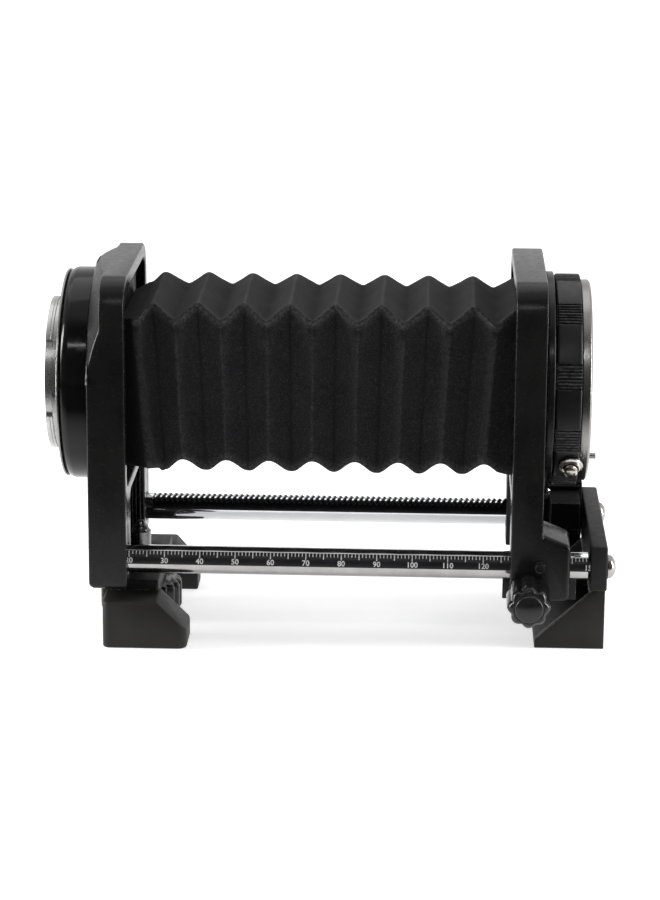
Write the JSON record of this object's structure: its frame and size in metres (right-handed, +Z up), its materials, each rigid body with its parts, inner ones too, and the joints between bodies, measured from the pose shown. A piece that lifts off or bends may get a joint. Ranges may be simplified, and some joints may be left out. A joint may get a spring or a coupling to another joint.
{
  "type": "macro extension bellows",
  "caption": "Camera macro bellows: rear standard with camera bayonet, geared front standard with lens mount, folded bellows, two rails, scale, clamp knob and feet.",
  "frame": {"origin": "on the ground plane under the middle of the bounding box along the rails, midway between the rails", "axes": "+X along the rails from the camera end to the lens end, +Y towards the rack rail, +Z up"},
  "size_m": [0.162, 0.096, 0.1055],
  "materials": {
    "gloss_black": "gloss black paint",
    "satin_black": "satin black paint",
    "moulded_black": "moulded black plastic",
    "chrome": "polished chrome plate",
    "satin_silver": "turned and satin chromed",
    "nickel": "nickel plate",
    "steel": "plain steel",
    "brass": "cut brass",
    "cloth": "black coated bellows cloth"
  },
  "bodies": {
    "root": {"rear_standard": "gloss_black", "scale_rod": "chrome", "rack_rod": "chrome", "scale_rod_end_screw": "chrome", "rack_rod_end_screw": "chrome", "rear_grub_near": "steel", "rear_grub_far": "steel", "rear_collar": "satin_black", "camera_flange": "satin_silver", "camera_bayonet": "satin_silver", "bayonet_index_pin": "steel", "bayonet_lock_screw": "steel", "camera_flange_screw_1": "steel", "camera_flange_screw_2": "steel", "camera_flange_screw_3": "steel", "camera_flange_screw_4": "steel", "rear_bellows_frame": "satin_black", "bellows": "cloth", "end_bar": "satin_black", "front_foot": "satin_black", "front_foot_screw_near": "steel", "front_foot_screw_far": "steel", "rear_foot": "satin_black", "foot_screw_near": "steel", "foot_screw_far": "steel", "tripod_bush": "nickel"},
    "lens_carriage": {"front_standard": "gloss_black", "gib_screw": "steel", "front_bellows_frame": "satin_black", "pinion_cover": "satin_black", "pinion_cover_screw": "chrome", "lens_base_ring": "gloss_black", "lens_mount_ring": "satin_black", "lens_flange": "satin_silver", "lens_flange_screw_1": "steel", "lens_flange_screw_2": "steel", "lens_flange_screw_3": "steel", "lens_flange_screw_4": "steel", "lens_flange_screw_5": "steel", "release_collar": "nickel", "release_spring": "steel"},
    "focus_drive": {"focus_shaft": "steel", "focus_pinion": "brass", "focus_knob": "moulded_black"},
    "lock_drive": {"lock_knob": "moulded_black", "lock_screw": "steel"},
    "release_body": {"release_button": "nickel"},
    "lock_pin_body": {"lens_lock_pin": "steel"},
    "foot_wheel_body": {"foot_wheel": "moulded_black"}
  },
  "joints": [
    {"name": "focus_slide", "type": "slide", "parent": "root", "child": "lens_carriage", "axis": [1, 0, 0], "range_m": [-0.093, 0], "deforming": ["bellows"]},
    {"name": "focus_turn", "type": "hinge", "parent": "lens_carriage", "child": "focus_drive", "pos_m": [0.06755, 0.026, 0.03078], "axis": [0, 1, 0], "range_deg": [-1693, 5]},
    {"name": "lock_turn", "type": "hinge", "parent": "lens_carriage", "child": "lock_drive", "pos_m": [0.05595, -0.04, 0.0181], "axis": [0, -1, 0], "range_deg": [0, 150]},
    {"name": "release_press", "type": "slide", "parent": "lens_carriage", "child": "release_body", "axis": [0, 0.7934, 0.6088], "range_m": [0, 0.0012], "stiffness_N_per_m": 400, "deforming": ["release_spring"]},
    {"name": "lock_pin_draw", "type": "slide", "parent": "lens_carriage", "child": "lock_pin_body", "axis": [-1, 0, 0], "range_m": [0, 0.0021]},
    {"name": "wheel_turn", "type": "hinge", "parent": "root", "child": "foot_wheel_body", "pos_m": [-0.05635, 0, 0.005], "axis": [0, 0, 1], "continuous": true}
  ],
  "couplings": [
    {"joint": "focus_turn", "follows": "focus_slide", "rad_per_m": 316.86},
    {"joint": "lock_pin_draw", "follows": "release_press", "ratio": 1.7}
  ]
}
